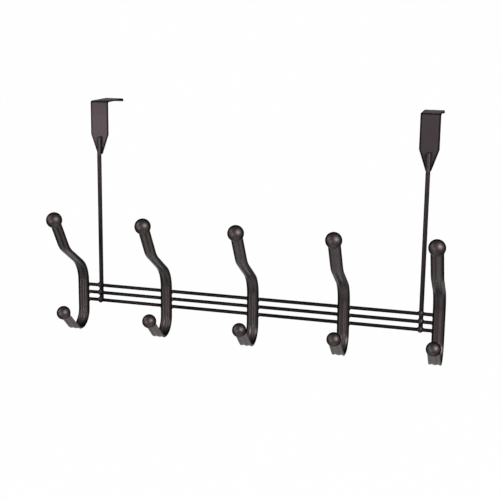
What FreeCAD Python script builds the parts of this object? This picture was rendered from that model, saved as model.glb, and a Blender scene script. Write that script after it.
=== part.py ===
import FreeCAD, Part
import math
import os
import Sketcher

# Over door rack: two folded sheet brackets, two upright wires, three rail wires
# and a row of double hooks, each a pressed strip with a ball at either end.
# Frame: X along the rails with 0 at the middle of the rack, Y from front (-) to
# back (+) with 0 on the front face of the door, Z up with 0 on top of the door.

# Driving sizes in millimetres and degrees, each with its alias and its meaning.
DRIVING_SIZES = [
    ("hook_count", 5, "double hooks along the rails"),
    ("hook_pitch", 106, "middle of one hook to the middle of the next"),
    ("rail_diameter", 4, "round wire of the three rails"),
    ("rail_pitch", 9.2, "axis of one rail to the axis of the next"),
    ("rail_overhang", 5, "rail end beyond the middle of the end hook"),
    ("rail_drop", 229, "top of the door down to the axis of the middle rail"),
    ("upright_diameter", 5, "round wire of the two uprights"),
    ("upright_inset", 20, "upright inside the middle of the end hook"),
    ("upright_tail", 1.3, "upright end below the underside of the bottom rail"),
    ("upright_start", 3, "upright top below the start of the bracket's taper"),
    ("wire_round", 0.6, "rounding of the cut wire ends"),
    ("weld_sink", 0.3, "how far welded pieces are pressed into each other"),
    ("bracket_width", 22, "width of the folded bracket"),
    ("bracket_sheet", 1.2, "sheet of the bracket"),
    ("bracket_bend", 1.5, "inner radius of the bracket's folds"),
    ("bracket_drop", 37.8, "top of the door down to the start of the taper"),
    ("bracket_taper", 23.5, "height of the taper"),
    ("bracket_tip", 6, "width of the blunt tip under the taper"),
    ("door_gap", 44.5, "thickness of the door that the bracket takes"),
    ("lip_straight", 1, "flat of the back lip under its fold"),
    ("strip_width", 14, "width of the hook strip over its rims"),
    ("strip_depth", 3.3, "depth of the hook strip from ridge to rim"),
    ("strip_sheet", 2.4, "sheet of the hook strip"),
    ("ridge_radius", 2.8, "outer radius of the two front ridges"),
    ("ridge_offset", 3.2, "middle of the strip to the middle of a ridge"),
    ("valley_radius", 3.5, "front radius of the valley between the ridges"),
    ("web_above", 14, "straight web above the middle rail"),
    ("web_below", 20.2, "straight web below the middle rail"),
    ("arm_bend", 34, "radius of the bend from the web into the arm"),
    ("arm_angle", 57, "lean of the arm from upright"),
    ("arm_run", 32.4, "straight length of the arm"),
    ("neck_bend", 33.5, "radius of the bend from the arm into the neck"),
    ("neck_angle", 32.3, "lean of the neck from upright"),
    ("neck_run", 38.4, "end of the neck's bend to the middle of the upper ball"),
    ("crook_bend", 18, "radius of the lower crook"),
    ("crook_angle", 132.2, "turn of the lower crook"),
    ("crook_run", 34.4, "end of the crook to the middle of the lower ball"),
    ("upper_ball", 18, "diameter of the upper ball"),
    ("lower_ball", 16, "diameter of the lower ball"),
]

doc = FreeCAD.newDocument("over_door_rack")
sheet = doc.addObject("Spreadsheet::Sheet", "Sizes")
for row, (alias, value, meaning) in enumerate(DRIVING_SIZES, start=1):
    sheet.set(f"A{row}", alias)
    sheet.set(f"B{row}", str(value))
    sheet.set(f"C{row}", meaning)
    sheet.setAlias(f"B{row}", alias)
doc.recompute()


def size(alias):
    """Number that the sheet holds under this alias."""
    return float(getattr(sheet, alias))


# Places that several pieces share, written as expressions on the sheet.
UPRIGHT_X = "(Sizes.hook_pitch * (Sizes.hook_count - 1) / 2 - Sizes.upright_inset)"
UPRIGHT_Y = "-(Sizes.bracket_sheet + Sizes.upright_diameter / 2 - Sizes.weld_sink)"
RAIL_Y = f"({UPRIGHT_Y} - Sizes.upright_diameter / 2 - Sizes.rail_diameter / 2 + Sizes.weld_sink)"
WEB_Y = f"({RAIL_Y} - Sizes.rail_diameter / 2 - Sizes.strip_depth / 2 + Sizes.weld_sink)"
UPRIGHT_LOW_Z = "-(Sizes.rail_drop + Sizes.rail_pitch + Sizes.rail_diameter / 2 + Sizes.upright_tail)"
UPRIGHT_TOP_Z = "-(Sizes.bracket_drop + Sizes.upright_start)"
ARM = "Sizes.arm_angle * 1 deg"
NECK = "Sizes.neck_angle * 1 deg"
CROOK = "Sizes.crook_angle * 1 deg"


def place(piece, x="0", y="0", z="0"):
    """Bind the three coordinates of a piece's Placement to the sheet."""
    piece.setExpression("Placement.Base.x", x)
    piece.setExpression("Placement.Base.y", y)
    piece.setExpression("Placement.Base.z", z)


def hook_x(index):
    """Expression for the middle of one hook, counted from the left."""
    return f"Sizes.hook_pitch * ({index} - (Sizes.hook_count - 1) / 2)"


def new_body(name):
    """Empty body whose Label is its name."""
    body = doc.addObject("PartDesign::Body", name)
    body.Label = name
    return body


def new_sketch(body, name, plane):
    """Sketch on one of the body's own origin planes."""
    sketch = body.newObject("Sketcher::SketchObject", name)
    support = next(part for part in body.Origin.OriginFeatures if part.Role == plane)
    sketch.AttachmentSupport = [(support, "")]
    sketch.MapMode = "FlatFace"
    return sketch


def line(sketch, start, end):
    """Add a straight line between two (u, v) points."""
    segment = Part.LineSegment(FreeCAD.Vector(*start, 0), FreeCAD.Vector(*end, 0))
    return sketch.addGeometry(segment, False)


def arc(sketch, centre, radius, first, last):
    """Add an arc that runs counter-clockwise between two angles in degrees."""
    circle = Part.Circle(FreeCAD.Vector(*centre, 0), FreeCAD.Vector(0, 0, 1), radius)
    return sketch.addGeometry(Part.ArcOfCircle(circle, math.radians(first), math.radians(last)), False)


def join(sketch, first, first_end, second, second_end):
    """Make two segments meet end to end and run smoothly into each other."""
    sketch.addConstraint(Sketcher.Constraint("Tangent", first, first_end, second, second_end))


def bind(sketch, name, expression, kind, *place_on):
    """Add one dimension, named, with its value taken from the sheet."""
    number = sketch.addConstraint(Sketcher.Constraint(kind, *place_on))
    sketch.renameConstraint(number, name)
    sketch.setExpression(f"Constraints.{name}", expression)


def on_circle(centre, radius, angle):
    """Point of a circle at an angle in degrees."""
    turn = math.radians(angle)
    return (centre[0] + radius * math.cos(turn), centre[1] + radius * math.sin(turn))


def along(start, distance, angle):
    """Point at a distance from the start, in a direction in degrees."""
    return on_circle(start, distance, angle)


# Round wires: a disc padded along the wire, with its two cut ends rounded.
def wire(name, plane, diameter, length, symmetric):
    body = new_body(name)
    disc = new_sketch(body, f"{name}_disc", plane)
    circle = Part.Circle(FreeCAD.Vector(0, 0, 0), FreeCAD.Vector(0, 0, 1), size(diameter) / 2)
    disc.addGeometry(circle, False)
    disc.addConstraint(Sketcher.Constraint("Coincident", 0, 3, -1, 1))
    bind(disc, "diameter", f"Sizes.{diameter}", "Diameter", 0, size(diameter))
    pad = body.newObject("PartDesign::Pad", f"{name}_pad")
    pad.Profile = disc
    pad.setExpression("Length", length)
    if symmetric:
        pad.SideType = "Symmetric"
    doc.recompute()
    rims = [f"Edge{n}" for n, edge in enumerate(pad.Shape.Edges, start=1) if edge.isClosed()]
    ends = body.newObject("PartDesign::Fillet", f"{name}_ends")
    ends.Base = (pad, rims)
    ends.setExpression("Radius", "Sizes.wire_round")
    body.Tip = ends
    return body


# Bracket: the folded sheet seen from its side, padded to its width, and then
# its lower end cut to a taper that stops in a blunt tip.
def bracket(name, x):
    s = size("bracket_sheet")
    gap = size("door_gap")
    inner = size("bracket_bend")
    outer = inner + s
    taper_z = -size("bracket_drop")
    tip_z = taper_z - size("bracket_taper")
    lip_z = -inner - size("lip_straight")
    body = new_body(name)
    fold = new_sketch(body, f"{name}_fold", "YZ_Plane")
    front = line(fold, (-s, tip_z), (-s, -inner))
    front_outer = arc(fold, (inner, -inner), outer, 90, 180)
    top = line(fold, (inner, s), (gap - inner, s))
    back_outer = arc(fold, (gap - inner, -inner), outer, 0, 90)
    lip = line(fold, (gap + s, -inner), (gap + s, lip_z))
    lip_end = line(fold, (gap + s, lip_z), (gap, lip_z))
    lip_inside = line(fold, (gap, lip_z), (gap, -inner))
    back_inner = arc(fold, (gap - inner, -inner), inner, 0, 90)
    underside = line(fold, (gap - inner, 0), (inner, 0))
    front_inner = arc(fold, (inner, -inner), inner, 90, 180)
    inside = line(fold, (0, -inner), (0, tip_z))
    foot = line(fold, (0, tip_z), (-s, tip_z))
    join(fold, front, 2, front_outer, 2)
    join(fold, front_outer, 1, top, 1)
    join(fold, top, 2, back_outer, 2)
    join(fold, back_outer, 1, lip, 1)
    join(fold, lip_inside, 2, back_inner, 1)
    join(fold, back_inner, 2, underside, 1)
    join(fold, underside, 2, front_inner, 1)
    join(fold, front_inner, 2, inside, 1)
    for first, second in ((lip, lip_end), (lip_end, lip_inside), (inside, foot), (foot, front)):
        fold.addConstraint(Sketcher.Constraint("Coincident", first, 2, second, 1))
    fold.addConstraint(Sketcher.Constraint("Coincident", front_outer, 3, front_inner, 3))
    fold.addConstraint(Sketcher.Constraint("Coincident", back_outer, 3, back_inner, 3))
    for upright_line in (front, lip_inside):
        fold.addConstraint(Sketcher.Constraint("Vertical", upright_line))
    for flat_line in (lip_end, foot):
        fold.addConstraint(Sketcher.Constraint("Horizontal", flat_line))
    fold.addConstraint(Sketcher.Constraint("Equal", front_inner, back_inner))
    fold.addConstraint(Sketcher.Constraint("PointOnObject", inside, 1, -2))
    fold.addConstraint(Sketcher.Constraint("PointOnObject", underside, 1, -1))
    bind(fold, "bend", "Sizes.bracket_bend", "Radius", front_inner, inner)
    bind(fold, "bend_outside", "Sizes.bracket_bend + Sizes.bracket_sheet", "Radius", front_outer, outer)
    bind(fold, "gap", "Sizes.door_gap", "DistanceX", inside, 1, lip_inside, 1, gap)
    bind(fold, "lip", "Sizes.lip_straight", "DistanceY", lip_inside, 1, lip_inside, 2, -inner - lip_z)
    reach = "Sizes.bracket_drop + Sizes.bracket_taper - Sizes.bracket_bend"
    bind(fold, "plate", reach, "DistanceY", inside, 2, inside, 1, -inner - tip_z)
    folded = body.newObject("PartDesign::Pad", f"{name}_pad")
    folded.Profile = fold
    folded.SideType = "Symmetric"
    folded.setExpression("Length", "Sizes.bracket_width")

    half = size("bracket_width") / 2
    tip = size("bracket_tip") / 2
    corners = new_sketch(body, f"{name}_corners", "XZ_Plane")
    for side in (-1, 1):
        slope = line(corners, (side * half, taper_z), (side * tip, tip_z))
        floor = line(corners, (side * tip, tip_z), (side * half, tip_z))
        edge = line(corners, (side * half, tip_z), (side * half, taper_z))
        corners.addConstraint(Sketcher.Constraint("Coincident", slope, 2, floor, 1))
        corners.addConstraint(Sketcher.Constraint("Coincident", floor, 2, edge, 1))
        corners.addConstraint(Sketcher.Constraint("Coincident", edge, 2, slope, 1))
        corners.addConstraint(Sketcher.Constraint("Horizontal", floor))
        corners.addConstraint(Sketcher.Constraint("Vertical", edge))
        label = "right" if side > 0 else "left"
        order = (-1, 1, edge, 1) if side > 0 else (edge, 1, -1, 1)
        bind(corners, f"{label}_edge", "Sizes.bracket_width / 2", "DistanceX", *order, half)
        order = (-1, 1, slope, 2) if side > 0 else (slope, 2, -1, 1)
        bind(corners, f"{label}_tip", "Sizes.bracket_tip / 2", "DistanceX", *order, tip)
        bind(corners, f"{label}_start", "Sizes.bracket_drop", "DistanceY", slope, 1, -1, 1, -taper_z)
        bind(corners, f"{label}_height", "Sizes.bracket_taper", "DistanceY", edge, 1, edge, 2, taper_z - tip_z)
    taper = body.newObject("PartDesign::Pocket", f"{name}_taper")
    taper.Profile = corners
    taper.SideType = "Symmetric"
    taper.Type = "ThroughAll"
    body.Tip = taper
    place(body, x)
    return body


# Section of the hook strip: a sheet of even thickness pressed to two front
# ridges with a valley between them, its sides sloping back to two rounded rims.
def strip_section(body, name):
    t = size("strip_sheet")
    ridge = size("ridge_radius")
    valley = size("valley_radius")
    offset = size("ridge_offset")
    half_depth = size("strip_depth") / 2
    rim = (size("strip_width") / 2 - t / 2, half_depth - t / 2)
    top = (offset, ridge - half_depth)
    middle = (0, top[1] - math.sqrt((ridge + valley) ** 2 - offset ** 2))
    wall = math.degrees(math.atan2(top[1] - middle[1], offset))
    reach = math.hypot(rim[0] - top[0], rim[1] - top[1])
    bearing = math.degrees(math.atan2(rim[1] - top[1], rim[0] - top[0]))
    flank = bearing - math.degrees(math.acos((ridge - t / 2) / reach))

    sketch = new_sketch(body, name, "XY_Plane")
    valley_front = arc(sketch, middle, valley, wall, 180 - wall)
    valley_back = arc(sketch, middle, valley + t, wall, 180 - wall)
    sketch.addConstraint(Sketcher.Constraint("Coincident", valley_front, 3, valley_back, 3))
    sketch.addConstraint(Sketcher.Constraint("PointOnObject", valley_front, 3, -2))
    for label, side in (("right", 1), ("left", -1)):
        centre = (side * top[0], top[1])
        edge = (side * rim[0], rim[1])
        spans = [(180 + wall, 360 + flank), (flank, flank + 180)]
        if side < 0:
            spans = [(180 - last, 180 - first) for first, last in spans]
        lean = flank if side > 0 else 180 - flank
        ridge_front = arc(sketch, centre, ridge, *spans[0])
        ridge_back = arc(sketch, centre, ridge - t, *spans[0])
        rim_end = arc(sketch, edge, t / 2, *spans[1])
        flank_front = line(sketch, on_circle(centre, ridge, lean), on_circle(edge, t / 2, lean))
        flank_back = line(sketch, on_circle(centre, ridge - t, lean), on_circle(edge, -t / 2, lean))
        inner, outer = (1, 2) if side > 0 else (2, 1)
        join(sketch, valley_front, inner, ridge_front, inner)
        join(sketch, valley_back, inner, ridge_back, inner)
        join(sketch, ridge_front, outer, flank_front, 1)
        join(sketch, ridge_back, outer, flank_back, 1)
        join(sketch, flank_front, 2, rim_end, inner)
        join(sketch, flank_back, 2, rim_end, outer)
        sketch.addConstraint(Sketcher.Constraint("Coincident", ridge_front, 3, ridge_back, 3))
        bind(sketch, f"{label}_ridge", "Sizes.ridge_radius", "Radius", ridge_front, ridge)
        bind(sketch, f"{label}_rim", "Sizes.strip_sheet / 2", "Radius", rim_end, t / 2)
        order = (-1, 1, ridge_front, 3) if side > 0 else (ridge_front, 3, -1, 1)
        bind(sketch, f"{label}_offset", "Sizes.ridge_offset", "DistanceX", *order, offset)
        order = (-1, 1, rim_end, 3) if side > 0 else (rim_end, 3, -1, 1)
        width = "(Sizes.strip_width - Sizes.strip_sheet) / 2"
        bind(sketch, f"{label}_width", width, "DistanceX", *order, rim[0])
        depth = "(Sizes.strip_depth - Sizes.strip_sheet) / 2"
        bind(sketch, f"{label}_depth", depth, "DistanceY", -1, 1, rim_end, 3, rim[1])
    bind(sketch, "valley", "Sizes.valley_radius", "Radius", valley_front, valley)
    front = "Sizes.ridge_radius - Sizes.strip_depth / 2"
    bind(sketch, "crown", front, "DistanceY", -1, 1, ridge_front, 3, top[1])
    return sketch


# Route of the arm: up the web, forward into the arm, and up again into the neck
# that ends in the middle of the upper ball.
def arm_route(body, name):
    arm = size("arm_angle")
    neck = size("neck_angle")
    bend = size("arm_bend")
    turn = size("neck_bend")
    web_top = (0, size("web_above"))
    bend_centre = (-bend, web_top[1])
    arm_start = on_circle(bend_centre, bend, arm)
    arm_end = along(arm_start, size("arm_run"), 90 + arm)
    turn_centre = along(arm_end, turn, arm)
    neck_start = on_circle(turn_centre, -turn, neck)
    ball = along(neck_start, size("neck_run"), 90 + neck)
    sketch = new_sketch(body, name, "YZ_Plane")
    web_line = line(sketch, (0, 0), web_top)
    bend_arc = arc(sketch, bend_centre, bend, 0, arm)
    arm_line = line(sketch, arm_start, arm_end)
    neck_arc = arc(sketch, turn_centre, turn, 180 + neck, 180 + arm)
    neck_line = line(sketch, neck_start, ball)
    sketch.addConstraint(Sketcher.Constraint("Coincident", web_line, 1, -1, 1))
    sketch.addConstraint(Sketcher.Constraint("Vertical", web_line))
    join(sketch, web_line, 2, bend_arc, 1)
    join(sketch, bend_arc, 2, arm_line, 1)
    join(sketch, arm_line, 2, neck_arc, 2)
    join(sketch, neck_arc, 1, neck_line, 1)
    bind(sketch, "web", "Sizes.web_above", "Distance", web_line, web_top[1])
    bind(sketch, "bend", "Sizes.arm_bend", "Radius", bend_arc, bend)
    bind(sketch, "arm", "Sizes.arm_run", "Distance", arm_line, size("arm_run"))
    bind(sketch, "turn", "Sizes.neck_bend", "Radius", neck_arc, turn)
    bind(sketch, "neck", "Sizes.neck_run", "Distance", neck_line, size("neck_run"))
    lean = math.radians(arm)
    bind(sketch, "arm_lean", ARM, "Angle", web_line, 1, arm_line, 1, lean)
    lean = math.radians(neck)
    bind(sketch, "neck_lean", NECK, "Angle", web_line, 1, neck_line, 1, lean)
    return sketch


# Route of the crook: down the web, round under it, and up to the lower ball.
def crook_route(body, name):
    turn = size("crook_angle")
    bend = size("crook_bend")
    web_end = (0, -size("web_below"))
    centre = (-bend, web_end[1])
    run_start = on_circle(centre, bend, -turn)
    ball = along(run_start, size("crook_run"), -90 - turn)
    sketch = new_sketch(body, name, "YZ_Plane")
    web_line = line(sketch, (0, 0), web_end)
    bend_arc = arc(sketch, centre, bend, 360 - turn, 360)
    run_line = line(sketch, run_start, ball)
    sketch.addConstraint(Sketcher.Constraint("Coincident", web_line, 1, -1, 1))
    sketch.addConstraint(Sketcher.Constraint("Vertical", web_line))
    join(sketch, web_line, 2, bend_arc, 2)
    join(sketch, bend_arc, 1, run_line, 1)
    bind(sketch, "web", "Sizes.web_below", "Distance", web_line, size("web_below"))
    bind(sketch, "bend", "Sizes.crook_bend", "Radius", bend_arc, bend)
    bind(sketch, "run", "Sizes.crook_run", "Distance", run_line, size("crook_run"))
    bind(sketch, "turn", CROOK, "Angle", bend_arc, math.radians(turn))
    return sketch


# Middle of the upper ball, from the same sizes as the route of the arm.
UPPER_BALL_Y = (
    f"{WEB_Y} - Sizes.arm_bend * (1 - cos({ARM})) - Sizes.arm_run * sin({ARM})"
    f" - Sizes.neck_bend * (cos({NECK}) - cos({ARM})) - Sizes.neck_run * sin({NECK})"
)
UPPER_BALL_Z = (
    f"-Sizes.rail_drop + Sizes.web_above + Sizes.arm_bend * sin({ARM}) + Sizes.arm_run * cos({ARM})"
    f" + Sizes.neck_bend * (sin({ARM}) - sin({NECK})) + Sizes.neck_run * cos({NECK})"
)

# Middle of the lower ball, from the same sizes as the route of the crook.
LOWER_BALL_Y = f"{WEB_Y} - Sizes.crook_bend * (1 - cos({CROOK})) - Sizes.crook_run * sin({CROOK})"
LOWER_BALL_Z = (
    f"-Sizes.rail_drop - Sizes.web_below - Sizes.crook_bend * sin({CROOK})"
    f" - Sizes.crook_run * cos({CROOK})"
)


def ball(name, diameter, x, y, z):
    """Solid ball whose middle lies at the end of its hook's route."""
    sphere = doc.addObject("Part::Sphere", name)
    sphere.Label = name
    sphere.setExpression("Radius", f"Sizes.{diameter} / 2")
    place(sphere, x, y, z)
    return sphere


def strip_blank(name, x):
    """Pressed strip of one hook before its seats are cut."""
    body = new_body(name)
    section = strip_section(body, f"{name}_section")
    for part, route in (("arm", arm_route), ("crook", crook_route)):
        sweep = body.newObject("PartDesign::AdditivePipe", f"{name}_{part}")
        sweep.Profile = section
        sweep.Spine = (route(body, f"{name}_{part}_route"), [""])
        sweep.Mode = "Binormal"
        sweep.Binormal = FreeCAD.Vector(1, 0, 0)
        body.Tip = sweep
    place(body, x, WEB_Y, "-Sizes.rail_drop")
    return body


def seated(name, blank, seats):
    """The blank with a seat cut for each piece that it is welded to."""
    tool = doc.addObject("Part::MultiFuse", f"{name}_seats")
    tool.Shapes = seats
    piece = doc.addObject("Part::Cut", name)
    piece.Label = name
    piece.Base = blank
    piece.Tool = tool
    return piece


nodes = []

# Three rails, from the top one down.
rails = []
rail_length = "Sizes.hook_pitch * (Sizes.hook_count - 1) + 2 * Sizes.rail_overhang"
for step, level in ((1, "top"), (0, "middle"), (-1, "bottom")):
    rail = wire(f"rail_wire_{level}", "YZ_Plane", "rail_diameter", rail_length, True)
    place(rail, "0", RAIL_Y, f"-Sizes.rail_drop + {step} * Sizes.rail_pitch")
    rails.append(rail)
nodes += rails

# One bracket and one upright on each side, the upright welded to the front of
# the bracket's taper and to the backs of the rails.
upright_length = f"{UPRIGHT_TOP_Z} - ({UPRIGHT_LOW_Z})"
for side, sign in (("left", "-"), ("right", "")):
    x = f"{sign}{UPRIGHT_X}"
    plate = bracket(f"door_bracket_{side}", x)
    blank = wire(f"upright_blank_{side}", "XY_Plane", "upright_diameter", upright_length, False)
    place(blank, x, UPRIGHT_Y, UPRIGHT_LOW_Z)
    nodes += [plate, seated(f"upright_wire_{side}", blank, rails + [plate])]

# The hooks, from left to right: a strip welded to the fronts of the rails and
# coped to the two balls at its ends.
for index in range(int(size("hook_count"))):
    x = hook_x(index)
    number = index + 1
    upper = ball(f"upper_ball_{number}", "upper_ball", x, UPPER_BALL_Y, UPPER_BALL_Z)
    lower = ball(f"lower_ball_{number}", "lower_ball", x, LOWER_BALL_Y, LOWER_BALL_Z)
    blank = strip_blank(f"strip_blank_{number}", x)
    nodes += [seated(f"hook_strip_{number}", blank, rails + [upper, lower]), upper, lower]

doc.recompute()

# Nothing is written unless every object and every piece is sound.
for item in doc.Objects:
    faults = [word for word in item.State if word in ("Invalid", "Error")]
    if faults:
        raise RuntimeError(f"{item.Name}: {faults}")
for piece in nodes:
    shape = piece.Shape
    if shape.isNull() or not shape.isValid() or len(shape.Solids) != 1:
        raise RuntimeError(f"{piece.Label} is not one sound solid")

os.makedirs("parts", exist_ok=True)
for piece in nodes:
    piece.Shape.exportStep(f"parts/{piece.Label}.step")
    print(piece.Label, round(piece.Shape.Volume, 1), "mm3")
print(len(nodes), "pieces")
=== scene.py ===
import math

import bmesh
import bpy
from mathutils import Matrix, Vector


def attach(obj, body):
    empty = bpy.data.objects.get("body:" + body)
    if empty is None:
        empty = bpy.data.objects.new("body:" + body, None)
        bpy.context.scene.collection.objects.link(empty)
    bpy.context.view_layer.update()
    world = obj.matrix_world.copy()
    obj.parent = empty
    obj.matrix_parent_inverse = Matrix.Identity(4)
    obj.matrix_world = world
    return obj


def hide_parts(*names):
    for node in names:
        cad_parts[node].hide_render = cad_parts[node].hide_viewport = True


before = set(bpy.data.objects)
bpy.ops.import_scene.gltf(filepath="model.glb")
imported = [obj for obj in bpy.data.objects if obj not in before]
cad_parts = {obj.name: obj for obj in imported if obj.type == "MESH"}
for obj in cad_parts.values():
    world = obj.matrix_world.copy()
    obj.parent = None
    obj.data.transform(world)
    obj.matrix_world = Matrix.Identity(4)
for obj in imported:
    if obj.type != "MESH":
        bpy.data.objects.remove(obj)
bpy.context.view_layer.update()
print("frame loaded:", len(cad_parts), "nodes")

mm = 0.001  # pieces are drawn in millimetres; coats, studio and view are in metres

# Places that several pieces share
rack = {
    "hookCount": 5,
    "hookPitch": 106,
    "doorTop": 0,
    "railHeights": (-219.8, -229, -238.2),  # top, middle, bottom
    "railDepth": -7.6,
    "uprightSide": 192,
    "uprightDepth": -3.4,
    "webDepth": -10.95,
}
hookPlaces = [rack["hookPitch"] * (n - (rack["hookCount"] - 1) / 2) for n in range(rack["hookCount"])]


# Helpers for meshes

def turned(degrees, axis):
    return Matrix.Rotation(math.radians(degrees), 3, axis)


def moveAll(bm, offset):
    bmesh.ops.translate(bm, verts=bm.verts, vec=offset)


def turnAll(bm, degrees, axis):
    bmesh.ops.rotate(bm, verts=bm.verts, cent=(0, 0, 0), matrix=turned(degrees, axis))


def runOn(bm, edges, offset, steps=1):  # pulls a row of edges along a straight run
    step = Vector(offset) / steps
    for n in range(steps):
        grown = bmesh.ops.extrude_edge_only(bm, edges=edges)["geom"]
        bmesh.ops.translate(bm, verts=[v for v in grown if isinstance(v, bmesh.types.BMVert)], vec=step)
        edges = [e for e in grown if isinstance(e, bmesh.types.BMEdge)]
    return edges


def bendOn(bm, edges, centre, degrees, steps):  # pulls a row of edges round a bend about X
    corners = list({v for e in edges for v in e.verts})
    grown = bmesh.ops.spin(bm, geom=edges + corners, cent=centre, axis=(1, 0, 0),
                           angle=math.radians(degrees), steps=steps, use_duplicate=False)
    return [e for e in grown["geom_last"] if isinstance(e, bmesh.types.BMEdge)]


def makeObject(name, bm, material):
    mesh = bpy.data.meshes.new(name)
    bm.to_mesh(mesh)
    bm.free()
    mesh.shade_smooth()
    mesh.materials.append(material)
    made = bpy.data.objects.new(name, mesh)
    bpy.context.scene.collection.objects.link(made)
    return made


def finishPiece(name, bm, material, stands=(), closed=True, sharpFrom=180):
    if closed:
        bmesh.ops.recalc_face_normals(bm, faces=bm.faces)
    bmesh.ops.scale(bm, verts=bm.verts, vec=(mm, mm, mm))
    piece = makeObject(name, bm, material)
    piece.data.set_sharp_from_angle(angle=math.radians(sharpFrom))
    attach(piece, "root")
    if stands:
        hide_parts(*stands)
    return piece


def addSolidify(piece, thickness, offset):
    wall = piece.modifiers.new("wall", "SOLIDIFY")
    wall.thickness = thickness * mm
    wall.offset = offset
    wall.use_even_offset = True


def addBevel(piece, width, segments, angle=40):
    rounding = piece.modifiers.new("rounding", "BEVEL")
    rounding.width = width * mm
    rounding.segments = segments
    rounding.limit_method = "ANGLE"
    rounding.angle_limit = math.radians(angle)
    rounding.harden_normals = True


# Helpers for node trees: a value is a wire from another node, or a number

def feed(tree, socket, value):
    if isinstance(value, bpy.types.NodeSocket):
        tree.links.new(value, socket)
    else:
        socket.default_value = value


def addMath(tree, operation, *values):
    node = tree.nodes.new("ShaderNodeMath")
    node.operation = operation
    for socket, value in zip(node.inputs, values):
        feed(tree, socket, value)
    return node.outputs["Value"]


def addRange(tree, value, fromMin, fromMax, toMin, toMax, smooth=True):
    node = tree.nodes.new("ShaderNodeMapRange")
    node.interpolation_type = "SMOOTHSTEP" if smooth else "LINEAR"
    values = {"Value": value, "From Min": fromMin, "From Max": fromMax, "To Min": toMin, "To Max": toMax}
    for label, setting in values.items():
        feed(tree, node.inputs[label], setting)
    return node.outputs["Result"]


def addShade(tree, colour, share):  # the colour times a mask
    node = tree.nodes.new("ShaderNodeMix")
    node.data_type = "RGBA"
    node.blend_type = "MULTIPLY"
    for label, setting in (("Factor", 1), ("A", colour), ("B", share)):
        feed(tree, node.inputs[label], setting)
    return node.outputs["Result"]


def addGroup(tree, group, settings):
    node = tree.nodes.new("ShaderNodeGroup")
    node.node_tree = group
    for label, setting in settings.items():
        node.inputs[label].default_value = setting
    return node.outputs


def readParts(tree, kind="Object"):  # X, Y and Z of a texture coordinate
    where = tree.nodes.new("ShaderNodeTexCoord")
    parts = tree.nodes.new("ShaderNodeSeparateXYZ")
    tree.links.new(where.outputs[kind], parts.inputs["Vector"])
    return parts.outputs


def startGroup(name, inputs, outputs):
    group = bpy.data.node_groups.new(name, "ShaderNodeTree")
    for label, value in inputs.items():
        socket = group.interface.new_socket(label, in_out="INPUT", socket_type="NodeSocketFloat")
        socket.default_value = value
    for label in outputs:
        group.interface.new_socket(label, in_out="OUTPUT", socket_type="NodeSocketFloat")
    return group, group.nodes.new("NodeGroupInput").outputs, group.nodes.new("NodeGroupOutput").inputs


# Powder coat, as all the coats have it

powder = {
    "details": {"Cloud": 3, "Grain": 2, "Peel": 1},
    "grainShare": 0.3,               # height of the fine grain on top of the longer orange peel
    "noiseSpan": (0.3, 0.7),         # most of the noise lies between these
    "peelDepth": 0.00003,
    "underFacing": (-0.4, -0.7),     # how far a face leans down before a ball shines below
    "underSlant": (0.5, 0.8),
    "underRoughness": 0.4,
}


def makeCoatGrain():  # texture of the sprayed powder
    sizes = {"Cloud Size": 40, "Grain Size": 1400, "Peel Size": 320}
    group, given, put = startGroup("coatGrain", sizes, ("Cloud", "Grain", "Height"))
    where = group.nodes.new("ShaderNodeTexCoord")
    noises = {}
    for label, detail in powder["details"].items():
        noise = group.nodes.new("ShaderNodeTexNoise")
        feed(group, noise.inputs["Vector"], where.outputs["Object"])
        feed(group, noise.inputs["Scale"], given[f"{label} Size"])
        feed(group, noise.inputs["Detail"], detail)
        noises[label] = noise.outputs["Fac"]
    feed(group, put["Cloud"], noises["Cloud"])
    feed(group, put["Grain"], noises["Grain"])
    feed(group, put["Height"],
         addMath(group, "MULTIPLY_ADD", noises["Grain"], powder["grainShare"], noises["Peel"]))
    return group


def makePaintedRimShade():  # painted shade: the colour goes darker along the long edges of strips and plates
    inputs = {"Half Spacing": 0.053, "Centre": 0, "Inner": 0.003, "Outer": 0.006, "Share": 0.5,
              "Open Front": -1, "Open Height": -1, "Taper Start": -1, "Taper Slope": 0}
    group, given, put = startGroup("paintedRimShade", inputs, ("Shade",))
    place = readParts(group)
    shift = addMath(group, "SUBTRACT", place["X"], given["Centre"])
    aside = addMath(group, "PINGPONG", shift, given["Half Spacing"])  # from the nearest centre line
    below = addMath(group, "SUBTRACT", given["Taper Start"], place["Z"])
    taken = addMath(group, "MULTIPLY", below, given["Taper Slope"])
    reach = addMath(group, "ADD", aside, addMath(group, "MAXIMUM", taken, 0))
    shade = addRange(group, reach, given["Inner"], given["Outer"], 1, given["Share"])
    # the painted shade is left out where a face is both in front of one depth and below one height
    front = addMath(group, "LESS_THAN", place["Y"], given["Open Front"])
    low = addMath(group, "LESS_THAN", place["Z"], given["Open Height"])
    feed(group, put["Shade"], addMath(group, "MAXIMUM", addMath(group, "MINIMUM", front, low), shade))
    return group


def makePaintedLightAndShade():  # painted shade in a fold and painted light or shade in other zones, by the distance from a line along X
    inputs = {"Middle": 0, "Out": 0, "Height": 0, "Near": 0.001, "Far": 0.003, "Share": 0.3}
    group, given, put = startGroup("paintedLightAndShade", inputs, ("Shade",))
    place = readParts(group)
    half = addMath(group, "ABSOLUTE", addMath(group, "SUBTRACT", place["Y"], given["Middle"]))
    offset = group.nodes.new("ShaderNodeCombineXYZ")
    feed(group, offset.inputs["Y"], addMath(group, "SUBTRACT", half, given["Out"]))
    feed(group, offset.inputs["Z"], addMath(group, "SUBTRACT", place["Z"], given["Height"]))
    away = group.nodes.new("ShaderNodeVectorMath")
    away.operation = "LENGTH"
    feed(group, away.inputs[0], offset.outputs["Vector"])
    feed(group, put["Shade"],
         addRange(group, away.outputs["Value"], given["Near"], given["Far"], given["Share"], 1))
    return group


coatGrain = makeCoatGrain()
paintedRimShade = makePaintedRimShade()
paintedLightAndShade = makePaintedLightAndShade()


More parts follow.
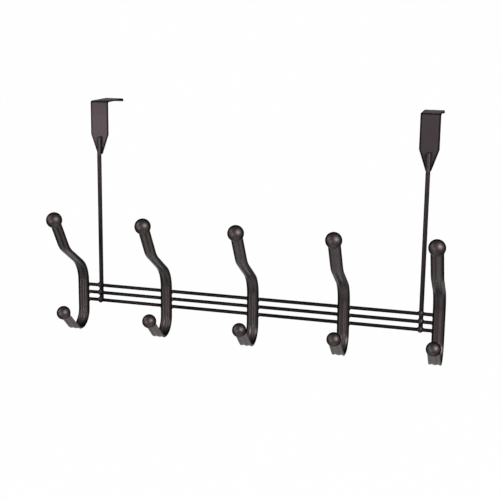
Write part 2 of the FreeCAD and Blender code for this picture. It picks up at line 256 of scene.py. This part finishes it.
def makeCoat(name, look):
    material = bpy.data.materials.new(name)
    material.use_nodes = True
    tree = material.node_tree
    shader = tree.nodes["Principled BSDF"].inputs
    grain = addGroup(tree, coatGrain, {"Cloud Size": look["cloudSize"]})
    tint = tree.nodes.new("ShaderNodeValToRGB")
    for mark, place, tone in zip(tint.color_ramp.elements, powder["noiseSpan"], ("dark", "light")):
        mark.position = place
        mark.color = (*look[tone], 1)
    feed(tree, tint.inputs["Fac"], grain["Cloud"])

    # painted shade: the colour goes dark where the coat is seen at a slant
    slant = tree.nodes.new("ShaderNodeLayerWeight").outputs["Facing"]
    paintedSlantShade = addRange(tree, slant, look["paintedShadeFrom"], look["paintedShadeTo"], 1, look["paintedShadeShare"])
    if "underShine" in look:  # but it shines where the slant faces down to the white floor
        under = addRange(tree, readParts(tree, "Normal")["Z"], *powder["underFacing"], 0, 1)
        edge = addRange(tree, slant, *powder["underSlant"], 0, look["underShine"], smooth=False)
        # the painted slant shade is lifted where the face leans down
        paintedSlantShade = addMath(tree, "MAXIMUM", paintedSlantShade, under)
        feed(tree, shader["Coat Weight"], addMath(tree, "MULTIPLY", under, edge))
        shader["Coat Roughness"].default_value = powder["underRoughness"]
    colour = addShade(tree, tint.outputs["Color"], paintedSlantShade)

    # painted shade along rims and in folds, and painted light or shade in one zone, multiplied into the colour
    for key, group in (("rim", paintedRimShade), ("paintedFoldShade", paintedLightAndShade), ("paintedZone", paintedLightAndShade)):
        if key in look:
            shade = addGroup(tree, group, look[key])["Shade"]
            colour = addShade(tree, colour, shade)
            if key == "rim":
                metal = addRange(tree, shade, look["rim"]["Share"], 1, 1, look["metal"], smooth=False)
                feed(tree, shader["Metallic"], metal)
    feed(tree, shader["Base Color"], colour)
    rough = (look["roughness"] - look["spread"], look["roughness"] + look["spread"])
    feed(tree, shader["Roughness"], addRange(tree, grain["Grain"], *powder["noiseSpan"], *rough, smooth=False))
    bump = tree.nodes.new("ShaderNodeBump")
    bump.inputs["Strength"].default_value = look["peel"]
    bump.inputs["Distance"].default_value = powder["peelDepth"]
    feed(tree, bump.inputs["Height"], grain["Height"])
    feed(tree, shader["Normal"], bump.outputs["Normal"])
    shader["Metallic"].default_value = look["metal"]
    shader["Specular IOR Level"].default_value = look["specular"]
    shader["Specular Tint"].default_value = (look["rimTint"],) * 3 + (1,)
    return material


# painted shade from, to: slant at which the painted shade on a coat starts and is darkest
# painted shade share and every Share: what is left of the colour there
# rim, fold and zone settings: painted shade along rims and in folds, painted light or shade in a zone
coats = {
    # the rails' coat, a darker copy of the uprights' coat: painted shade over all but the faces turned to the
    # camera
    "wire_coat": {
        "dark": (0.024, 0.019, 0.019), "light": (0.034, 0.027, 0.027), "cloudSize": 40, "peel": 0.10,
        "paintedShadeFrom": 0.02, "paintedShadeTo": 0.35, "paintedShadeShare": 0.02, "metal": 0.9, "roughness": 0.45,
        "spread": 0.04, "specular": 0.15, "rimTint": 0.1,
    },
    "upright_coat": {
        "dark": (0.034, 0.026, 0.027), "light": (0.046, 0.036, 0.038), "cloudSize": 40, "peel": 0.10,
        "paintedShadeFrom": 0.2, "paintedShadeTo": 0.7, "paintedShadeShare": 0.1, "metal": 0.8, "roughness": 0.45,
        "spread": 0.04, "specular": 0.2, "rimTint": 0.2,
        # painted light: lighter where the upright stands in front of the bracket
        "paintedZone": {"Out": 0.0034, "Height": -0.051, "Near": 0.0095, "Far": 0.0125, "Share": 1.7},
    },
    # lighter than the wires it joins: a painted highlight on the crossing pillows
    "crossing_painted_highlight_coat": {
        "dark": (0.048, 0.038, 0.039), "light": (0.060, 0.048, 0.049), "cloudSize": 60, "peel": 0.10,
        "paintedShadeFrom": 0.35, "paintedShadeTo": 0.85, "paintedShadeShare": 0.12, "metal": 0.8, "roughness": 0.5,
        "spread": 0.04, "specular": 0.3, "rimTint": 0.3,
    },
    "bracket_coat": {
        "dark": (0.070, 0.0535, 0.0575), "light": (0.075, 0.0575, 0.062), "cloudSize": 70, "peel": 0.02,
        "paintedShadeFrom": 0.45, "paintedShadeTo": 0.9, "paintedShadeShare": 0.25, "metal": 0.6, "roughness": 0.46,
        "spread": 0.015, "specular": 0.3, "rimTint": 0.3,
        # painted shade along the plate's sides and the edges of its taper
        "rim": {"Half Spacing": 0.192, "Centre": 0.192, "Inner": 0.0082, "Outer": 0.0105, "Share": 0.15,
                "Taper Start": -0.0375, "Taper Slope": 0.36},
        # painted shade along the top of the front fold
        "paintedFoldShade": {"Middle": 0.0223, "Out": 0.0218, "Height": 0.0012, "Near": 0.0009, "Far": 0.0023,
                 "Share": 0.15},
    },
    "strip_coat": {
        "dark": (0.057, 0.043, 0.044), "light": (0.069, 0.053, 0.054), "cloudSize": 60, "peel": 0.10,
        "paintedShadeFrom": 0.6, "paintedShadeTo": 0.95, "paintedShadeShare": 0.15, "metal": 0.65, "roughness": 0.43,
        "spread": 0.04, "specular": 1.0, "rimTint": 1.0,
        # painted shade along the strip's long edges, left out on the free ends of the crooks
        "rim": {"Half Spacing": 0.053, "Centre": 0.0005, "Inner": 0.0032, "Outer": 0.0064, "Share": 0.12,
                "Open Front": -0.038, "Open Height": -0.235},
        # painted shade inside the bottom of the crook
        "paintedFoldShade": {"Out": 0.029, "Height": -0.2665, "Near": 0.0030, "Far": 0.0100, "Share": 0.1},
        # painted shade: darker on the web, where it crosses the rails
        "paintedZone": {"Out": 0.022, "Height": -0.185, "Near": 0.030, "Far": 0.060, "Share": 0.84},
    },
    "ball_coat": {
        "dark": (0.089, 0.072, 0.071), "light": (0.108, 0.088, 0.087), "cloudSize": 90, "peel": 0.07,
        "paintedShadeFrom": 0.25, "paintedShadeTo": 0.7, "paintedShadeShare": 0.05, "metal": 0.9, "roughness": 0.5,
        "spread": 0.04, "specular": 0.3, "rimTint": 0.05, "underShine": 0.6,
    },
    # lighter than the strip: a painted highlight on the bead where each strip enters its ball
    "weld_painted_highlight_coat": {
        "dark": (0.075, 0.061, 0.061), "light": (0.092, 0.076, 0.076), "cloudSize": 60, "peel": 0.12,
        "paintedShadeFrom": 0.6, "paintedShadeTo": 0.95, "paintedShadeShare": 0.3, "metal": 0.65, "roughness": 0.42,
        "spread": 0.04, "specular": 0.8, "rimTint": 1.0,
    },
}
finish = {name: makeCoat(name, look) for name, look in coats.items()}
print("coats mixed:", len(finish))


# Round wires

wires = {
    "railDiameter": 4,
    "railLength": 434,
    "uprightDiameter": 5,
    "uprightTop": -40.8,
    "uprightFoot": -241.5,
    "endRounding": 0.6,
    "roundingSteps": 4,
    "sides": 32,
}


def makeRod(diameter, length):  # stands on its end, centred
    bm = bmesh.new()
    bmesh.ops.create_cone(bm, cap_ends=True, segments=wires["sides"], depth=length,
                          radius1=diameter / 2, radius2=diameter / 2)
    rims = [e for e in bm.edges if e.verts[0].co.z * e.verts[1].co.z > 0]  # all but the long edges
    bmesh.ops.bevel(bm, geom=rims, offset=wires["endRounding"], segments=wires["roundingSteps"],
                    profile=0.5, affect="EDGES", material=-1)
    return bm


for level, height in zip(("top", "middle", "bottom"), rack["railHeights"]):
    bm = makeRod(wires["railDiameter"], wires["railLength"])
    turnAll(bm, 90, "Y")
    moveAll(bm, (0, rack["railDepth"], height))
    finishPiece(f"rail_{level}", bm, finish["wire_coat"], [f"rail_wire_{level}"], sharpFrom=35)

uprightLength = wires["uprightTop"] - wires["uprightFoot"]
for side, sign in (("left", -1), ("right", 1)):
    bm = makeRod(wires["uprightDiameter"], uprightLength)
    moveAll(bm, (sign * rack["uprightSide"], rack["uprightDepth"], wires["uprightFoot"] + uprightLength / 2))
    finishPiece(f"upright_{side}", bm, finish["upright_coat"], [f"upright_wire_{side}"],
                sharpFrom=35)
print("rails and uprights drawn")


# Door brackets

bracket = {
    "width": 22,
    "sheet": 1.2,
    "bend": 1.5,       # inside radius
    "bendSteps": 8,
    "drop": 37.8,      # top of the door to the start of the taper
    "taper": 23.5,
    "tipWidth": 6,
    "doorGap": 44.5,
    "lip": 1,
    "edgeRounding": 0.3,
    "roundingSteps": 3,
}


def makeBracket():  # its inside, from the foot over the door to the lip
    bm = bmesh.new()
    half = bracket["width"] / 2
    tip = bracket["tipWidth"] / 2
    bend = bracket["bend"]
    gap = bracket["doorGap"]
    foot = -bracket["drop"] - bracket["taper"]
    ends = [bm.verts.new((x, 0, foot)) for x in (-tip, tip)]
    row = runOn(bm, [bm.edges.new(ends)], (0, 0, bracket["taper"]))
    for corner in {v for e in row for v in e.verts}:
        corner.co.x = math.copysign(half, corner.co.x)
    row = runOn(bm, row, (0, 0, bracket["drop"] - bend), 2)
    row = bendOn(bm, row, (0, bend, -bend), -90, bracket["bendSteps"])
    row = runOn(bm, row, (0, gap - 2 * bend, 0), 2)
    row = bendOn(bm, row, (0, gap - bend, -bend), -90, bracket["bendSteps"])
    runOn(bm, row, (0, 0, -bracket["lip"]))
    bmesh.ops.recalc_face_normals(bm, faces=bm.faces)
    if sum(f.normal.z * f.calc_area() for f in bm.faces) < 0:  # the outside faces up
        bmesh.ops.reverse_faces(bm, faces=bm.faces)
    return bm


for side, sign in (("left", -1), ("right", 1)):
    bm = makeBracket()
    moveAll(bm, (sign * rack["uprightSide"], 0, rack["doorTop"]))
    plate = finishPiece(f"bracket_{side}", bm, finish["bracket_coat"],
                        [f"door_bracket_{side}"], closed=False, sharpFrom=35)
    addSolidify(plate, bracket["sheet"], 1)
    addBevel(plate, bracket["edgeRounding"], bracket["roundingSteps"])
print("door brackets folded")


# Hooks

hook = {
    "width": 14,
    "depth": 3.3,
    "sheet": 2.4,
    "edgeFlat": 0.05,      # left of each half edge by its rounding
    "edgeSteps": 5,
    "ridge": 2.8,          # outside radius of the two front ridges
    "ridgeOffset": 3.2,
    "ridgeSteps": 8,
    "valley": 3.5,         # front radius of the valley between them
    "valleySteps": 5,
    "webAbove": 14,
    "webBelow": 20.2,
    "armBend": 34,
    "armAngle": 57,
    "armRun": 32.4,
    "neckBend": 33.5,
    "neckAngle": 32.3,
    "neckRun": 38.4,
    "crookBend": 18,
    "crookAngle": 132.2,
    "crookRun": 34.4,
    "upperBall": 18,
    "lowerBall": 16,
    "ballSides": 48,
    "ballRings": 32,
    "upperShort": 4.5,     # strip ends this far short of a ball's middle, inside the ball
    "lowerShort": 3,
    "steps": {"webAbove": 3, "armBend": 20, "arm": 6, "neckBend": 10, "neck": 7,
              "webBelow": 4, "crookBend": 30, "crook": 6},
}


def atAngle(angle):
    return Vector((math.cos(angle), math.sin(angle)))


def sectionPoints():  # middle line of the pressed sheet, left rim to right rim, as (across, back)
    half = hook["depth"] / 2
    sheetHalf = hook["sheet"] / 2
    ridge = hook["ridge"] - sheetHalf
    valley = hook["valley"] + sheetHalf
    ridgeCentre = Vector((hook["ridgeOffset"], hook["ridge"] - half))
    valleyCentre = Vector((0, ridgeCentre.y - math.sqrt((ridge + valley) ** 2 - ridgeCentre.x ** 2)))
    rim = Vector((hook["width"] / 2 - sheetHalf, half - sheetHalf))
    wall = math.atan2(ridgeCentre.y - valleyCentre.y, ridgeCentre.x)
    bearing = math.atan2(rim.y - ridgeCentre.y, rim.x - ridgeCentre.x)
    flank = bearing - math.acos(ridge / (rim - ridgeCentre).length)
    top = math.pi / 2
    right = [Vector((0, valleyCentre.y + valley))]
    for n in range(1, hook["valleySteps"] + 1):
        right.append(valleyCentre + valley * atAngle(top + (wall - top) * n / hook["valleySteps"]))
    for n in range(1, hook["ridgeSteps"] + 1):
        turn = (flank - wall + math.pi) * n / hook["ridgeSteps"]
        right.append(ridgeCentre + ridge * atAngle(wall - math.pi + turn))
    edge = rim + (rim - right[-1]).normalized() * sheetHalf  # the rounding of the edge starts at the rim
    right += [right[-1].lerp(edge, 0.5), edge]
    return [Vector((-p.x, p.y)) for p in reversed(right[1:])] + right


def makeStrip(x):
    bm = bmesh.new()
    steps = hook["steps"]
    web = rack["webDepth"]
    middle = rack["railHeights"][1]
    corners = [bm.verts.new((x + p.x, web + p.y, middle)) for p in sectionPoints()]
    section = [bm.edges.new(pair) for pair in zip(corners, corners[1:])]
    arm = math.radians(hook["armAngle"])
    neck = math.radians(hook["neckAngle"])
    crook = math.radians(hook["crookAngle"])

    # up the web, out along the arm and up the neck into the upper ball
    row = runOn(bm, section, (0, 0, hook["webAbove"]), steps["webAbove"])
    bendCentre = Vector((x, web - hook["armBend"], middle + hook["webAbove"]))
    row = bendOn(bm, row, bendCentre, hook["armAngle"], steps["armBend"])
    armStart = bendCentre + hook["armBend"] * Vector((0, math.cos(arm), math.sin(arm)))
    armEnd = armStart + hook["armRun"] * Vector((0, -math.sin(arm), math.cos(arm)))
    row = runOn(bm, row, armEnd - armStart, steps["arm"])
    neckCentre = armEnd + hook["neckBend"] * Vector((0, math.cos(arm), math.sin(arm)))
    row = bendOn(bm, row, neckCentre, hook["neckAngle"] - hook["armAngle"], steps["neckBend"])
    neckStart = neckCentre - hook["neckBend"] * Vector((0, math.cos(neck), math.sin(neck)))
    upward = Vector((0, -math.sin(neck), math.cos(neck)))
    runOn(bm, row, upward * (hook["neckRun"] - hook["upperShort"]), steps["neck"])
    upperBall = neckStart + upward * hook["neckRun"]

    # down the web, round the crook and up into the lower ball
    row = runOn(bm, section, (0, 0, -hook["webBelow"]), steps["webBelow"])
    crookCentre = Vector((x, web - hook["crookBend"], middle - hook["webBelow"]))
    row = bendOn(bm, row, crookCentre, -hook["crookAngle"], steps["crookBend"])
    runStart = crookCentre + hook["crookBend"] * Vector((0, math.cos(crook), -math.sin(crook)))
    forward = Vector((0, -math.sin(crook), -math.cos(crook)))
    runOn(bm, row, forward * (hook["crookRun"] - hook["lowerShort"]), steps["crook"])
    lowerBall = runStart + forward * hook["crookRun"]
    bmesh.ops.recalc_face_normals(bm, faces=bm.faces)
    return bm, (upperBall, upward), (lowerBall, forward)


def makeBall(diameter, centre, towards):
    bm = bmesh.new()
    bmesh.ops.create_uvsphere(bm, u_segments=hook["ballSides"], v_segments=hook["ballRings"],
                              radius=diameter / 2)
    bmesh.ops.rotate(bm, verts=bm.verts, cent=(0, 0, 0),
                     matrix=Vector((0, 0, 1)).rotation_difference(towards).to_matrix())
    moveAll(bm, centre)
    return bm


# Beads of the welds; sizes are half sizes across, in depth and in height
weld = {
    "rimSize": (2.1, 1.3, 2.6),      # between a strip and a rail
    "rimInset": 0.6,
    "crossSize": (4.1, 3.9, 3.8),    # round the crossing of a rail and an upright
    "plateSize": (2.6, 2.0, 10.3),   # between an upright and its bracket
    "plateSide": -1.0,               # where it lies more to the left of the upright
    "plateRise": 1.0,                # and in front of the bracket, its back inside the sheet
    "lobes": 0.08,                   # how far a bead runs out along the wires
    "beadSides": 32,
    "beadRings": 16,
    "ringRadius": 0.6,               # bead round the strip where it enters a ball
    "ringSteps": 3,
}


def addBead(bm, centre, size, lobes=weld["lobes"]):  # pillow with four soft lobes along X and Z
    bead = bmesh.ops.create_uvsphere(bm, u_segments=weld["beadSides"], v_segments=weld["beadRings"],
                                     radius=1)["verts"]
    bmesh.ops.rotate(bm, verts=bead, cent=(0, 0, 0), matrix=turned(90, "X"))
    for point in bead:
        lobe = 1 + lobes * math.cos(4 * math.atan2(point.co.z, point.co.x))
        point.co.x *= lobe
        point.co.z *= lobe
    bmesh.ops.scale(bm, verts=bead, vec=size)
    bmesh.ops.translate(bm, verts=bead, vec=centre)


def addRing(bm, diameter, centre, towards):  # round bead along the strip's outline on its ball
    back = Vector((1, 0, 0)).cross(towards)
    if back.y < 0:
        back.negate()
    line = sectionPoints()
    outline = []
    for side in (-1, 1):
        edge = []
        for n, point in enumerate(line):
            along = (line[min(n + 1, len(line) - 1)] - line[max(n - 1, 0)]).normalized()
            edge.append(point + side * hook["sheet"] / 2 * Vector((-along.y, along.x)))
        outline += edge[1:-1][::-side]
    curve = bpy.data.curves.new("bead", "CURVE")
    curve.dimensions = "3D"
    curve.bevel_depth = weld["ringRadius"]
    curve.bevel_resolution = weld["ringSteps"]
    path = curve.splines.new("POLY")
    path.points.add(len(outline) - 1)
    for target, spot in zip(path.points, outline):
        sunk = math.sqrt((diameter / 2) ** 2 - spot.length_squared)
        target.co = (*(centre - towards * sunk + Vector((spot.x, 0, 0)) + back * spot.y), 1)
    path.use_cyclic_u = True
    holder = bpy.data.objects.new("bead", curve)
    mesh = bpy.data.meshes.new_from_object(holder)
    bm.from_mesh(mesh)
    bpy.data.objects.remove(holder)
    bpy.data.curves.remove(curve)
    bpy.data.meshes.remove(mesh)


railFront = rack["railDepth"] - wires["railDiameter"] / 2
for number, x in enumerate(hookPlaces, start=1):
    bm, upper, lower = makeStrip(x)
    strip = finishPiece(f"strip_{number}", bm, finish["strip_coat"],
                        [f"hook_strip_{number}"], closed=False)
    addSolidify(strip, hook["sheet"], 0)
    addBevel(strip, hook["sheet"] / 2 - hook["edgeFlat"], hook["edgeSteps"], angle=60)
    for level, ball in (("upper", upper), ("lower", lower)):
        bm = makeBall(hook[f"{level}Ball"], *ball)
        finishPiece(f"ball_{level}_{number}", bm, finish["ball_coat"],
                    [f"{level}_ball_{number}"], sharpFrom=35)
    bm = bmesh.new()
    for height in rack["railHeights"]:
        for side in (-1, 1):
            rim = x + side * (hook["width"] / 2 - weld["rimInset"])
            if abs(rim) < wires["railLength"] / 2:  # nothing to weld to past the rail ends
                addBead(bm, (rim, railFront, height), weld["rimSize"])
    finishPiece(f"rail_welds_{number}", bm, finish["upright_coat"])
    bm = bmesh.new()
    addRing(bm, hook["upperBall"], *upper)
    addRing(bm, hook["lowerBall"], *lower)
    finishPiece(f"ball_welds_{number}", bm, finish["weld_painted_highlight_coat"])
print("hooks bent:", len(hookPlaces))

uprightFront = rack["uprightDepth"] - wires["uprightDiameter"] / 2
bracketFoot = -bracket["drop"] - bracket["taper"]
plateMiddle = (wires["uprightTop"] + bracketFoot) / 2
plateDepth = -bracket["sheet"] - weld["plateRise"]
for side, sign in (("left", -1), ("right", 1)):
    x = sign * rack["uprightSide"]
    bm = bmesh.new()
    for height in rack["railHeights"]:
        addBead(bm, (x, uprightFront, height), weld["crossSize"])
    finishPiece(f"upright_welds_{side}", bm, finish["crossing_painted_highlight_coat"])
    bm = bmesh.new()
    addBead(bm, (x + weld["plateSide"], plateDepth, plateMiddle), weld["plateSize"], lobes=0)
    finishPiece(f"plate_weld_{side}", bm, finish["bracket_coat"])
print("welds laid")


# Studio

studio = {
    "aim": (0, -0.06, -0.15),
    # white sheet that runs on from the floor into a wall behind the rack
    "coveHeight": -0.62,
    "coveFront": -0.62,
    "coveBack": 1.6,
    "coveCurve": 0.6,
    "coveTop": 1.6,
    "coveSpread": 0.34,    # half of its width for each metre from the camera
    "cameraAway": 1.11,
    "coveTurn": 15.4,      # degrees, square to the camera
    "coveTone": 0.85,
    "coveRoughness": 0.9,
    "coveGlow": 0.99,      # share of the sheet that shows as plain white
    # name, direction from the rack, distance, width, height, watts
    "lamps": (
        ("key", (0.70, -0.56, 0.42), 1.8, 0.85, 0.85, 36),
        ("side", (-0.84, -0.32, 0.42), 1.8, 0.45, 1.1, 10),
        ("low", (-0.50, -0.86, -0.11), 1.8, 0.6, 0.5, 10),
    ),
    # height in the room (0 level, 1 straight up) and its brightness
    "room": ((0.0, 0.12), (0.25, 0.08), (0.6, 0.04), (1.0, 0.02)),
}


def makeLamps():
    aim = Vector(studio["aim"])
    for name, direction, distance, width, height, watts in studio["lamps"]:
        data = bpy.data.lights.new(name, "AREA")
        data.shape = "RECTANGLE"
        data.size = width
        data.size_y = height
        data.energy = watts
        place = aim + Vector(direction).normalized() * distance
        turn = (aim - place).to_track_quat("-Z", "Y").to_matrix().to_4x4()
        lamp = bpy.data.objects.new(name, data)
        lamp.matrix_world = Matrix.Translation(place) @ turn
        bpy.context.scene.collection.objects.link(lamp)


def makeCoveWhite():
    material = bpy.data.materials.new("coveWhite")
    material.use_nodes = True
    tree = material.node_tree
    paint = tree.nodes["Principled BSDF"]
    paint.inputs["Base Color"].default_value = (studio["coveTone"],) * 3 + (1,)
    paint.inputs["Roughness"].default_value = studio["coveRoughness"]
    glow = tree.nodes.new("ShaderNodeEmission")
    ray = tree.nodes.new("ShaderNodeLightPath").outputs
    seen = addMath(tree, "MAXIMUM", ray["Is Camera Ray"], ray["Is Glossy Ray"])
    seen = addMath(tree, "MAXIMUM", seen, ray["Is Transmission Ray"])
    mix = tree.nodes.new("ShaderNodeMixShader")
    feed(tree, mix.inputs["Fac"], addMath(tree, "MULTIPLY", seen, studio["coveGlow"]))
    feed(tree, mix.inputs[1], paint.outputs["BSDF"])
    feed(tree, mix.inputs[2], glow.outputs["Emission"])
    feed(tree, tree.nodes["Material Output"].inputs["Surface"], mix.outputs["Shader"])
    return material


def makeCove():
    bm = bmesh.new()
    low = studio["coveHeight"]
    back = studio["coveBack"]
    curve = studio["coveCurve"]
    ends = [bm.verts.new((side, studio["coveFront"], low)) for side in (-1, 1)]
    row = runOn(bm, [bm.edges.new(ends)], (0, back - studio["coveFront"], 0), 4)
    row = bendOn(bm, row, (0, back, low + curve), 90, 16)
    runOn(bm, row, (0, 0, studio["coveTop"] - low - curve), 3)
    for corner in bm.verts:
        corner.co.x *= studio["coveSpread"] * (corner.co.y + studio["cameraAway"])
    turnAll(bm, studio["coveTurn"], "Z")
    cove = makeObject("cove", bm, makeCoveWhite())


def makeRoom():
    world = bpy.data.worlds.new("room")
    world.use_nodes = True
    tree = world.node_tree
    fade = tree.nodes.new("ShaderNodeValToRGB")
    marks = fade.color_ramp.elements
    while len(marks) < len(studio["room"]):
        marks.new(0.5)
    for mark, (height, bright) in zip(marks, studio["room"]):
        mark.position = height
        mark.color = (bright, bright, bright, 1)
    feed(tree, fade.inputs["Fac"], readParts(tree, "Generated")["Z"])
    feed(tree, tree.nodes["Background"].inputs["Color"], fade.outputs["Color"])
    bpy.context.scene.world = world


makeLamps()
makeCove()
makeRoom()
bpy.context.scene.view_settings.view_transform = "Standard"
print("studio lit:", len(studio["lamps"]), "lamps")


# Camera, with its angles in degrees

view = {
    "place": (0.28775, -1.07343, 0.10326),
    "azimuth": 15.408,      # to the right of straight in front
    "elevation": 11.196,    # looking down
    "roll": 0.708,
    "sensorWidth": 36,      # millimetres
    "focalInWidths": 990.47 / 500,
    "shiftRight": 0.0008,
    "shiftUp": -0.08,
    "farthest": 200,
}


def makeCamera():
    data = bpy.data.cameras.new("camera")
    data.sensor_width = view["sensorWidth"]
    data.lens = view["focalInWidths"] * data.sensor_width
    data.shift_x = view["shiftRight"]
    data.shift_y = view["shiftUp"]
    data.clip_end = view["farthest"]
    turn = Matrix.Identity(4)
    for degrees, axis in ((view["azimuth"], "Z"), (90 - view["elevation"], "X"), (view["roll"], "Z")):
        turn = turn @ Matrix.Rotation(math.radians(degrees), 4, axis)
    camera = bpy.data.objects.new("camera", data)
    camera.matrix_world = Matrix.Translation(view["place"]) @ turn
    bpy.context.scene.collection.objects.link(camera)
    bpy.context.scene.camera = camera


makeCamera()
print("camera placed")
